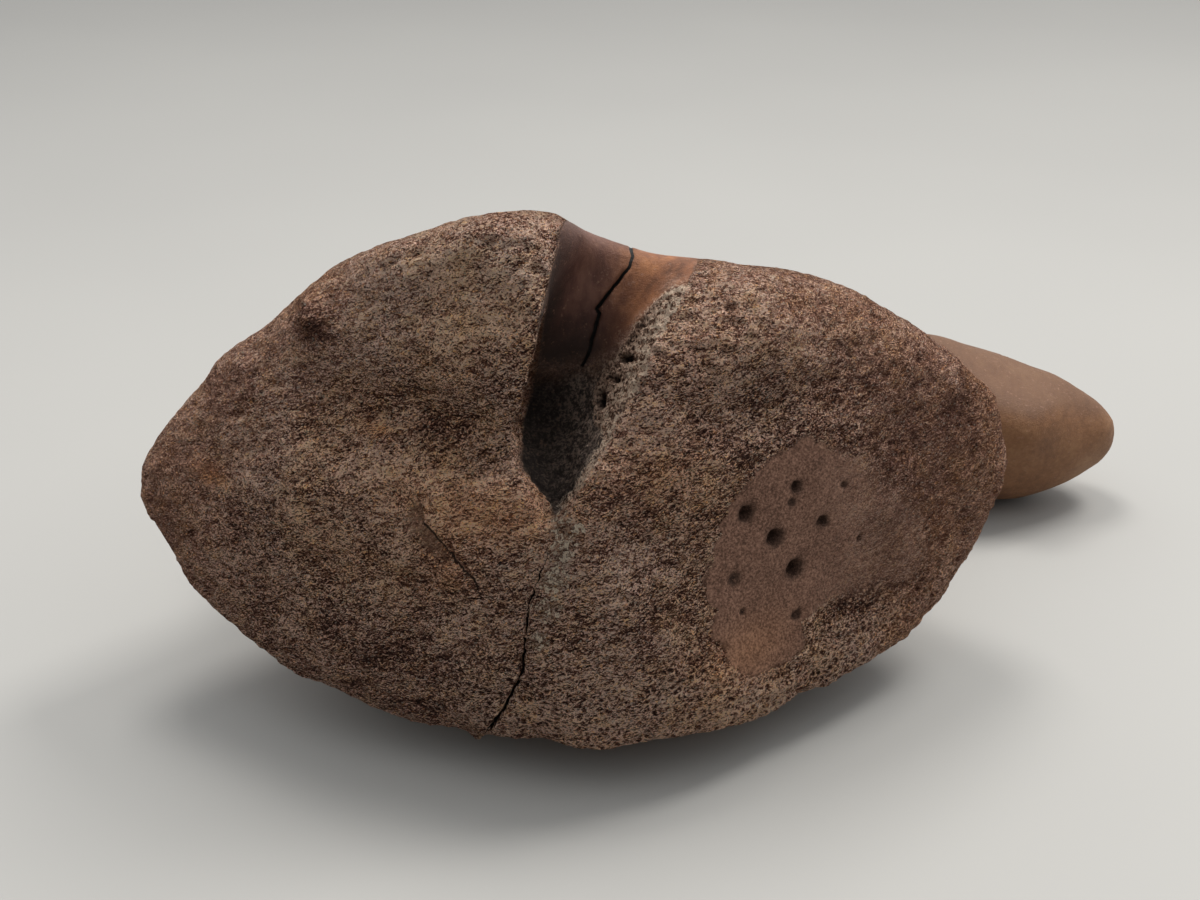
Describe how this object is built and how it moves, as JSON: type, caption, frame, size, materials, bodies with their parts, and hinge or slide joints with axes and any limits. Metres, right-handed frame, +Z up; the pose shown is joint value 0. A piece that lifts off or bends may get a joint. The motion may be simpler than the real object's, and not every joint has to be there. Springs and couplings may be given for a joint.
{
  "type": "fossil dinosaur coracoid",
  "caption": "Fossil dinosaur shoulder bone lying flat: a thick end with a scapular and a glenoid facet, a deep foramen notch, a neck, a broad plate and a hooked process.",
  "frame": {"origin": "middle of the bone's plan extents, on the surface it lies on", "axes": "+X from the scapular facet towards the glenoid facet and the hooked sternal process, +Y from the facets towards the plate's far margin, +Z up, which is the bone's medial side"},
  "size_m": [0.196, 0.1476, 0.0941],
  "materials": {
    "fossil_bone": "dull, pitted and granular, dark warm brown"
  },
  "bodies": {
    "root": {"coracoid": "fossil_bone"}
  },
  "joints": []
}
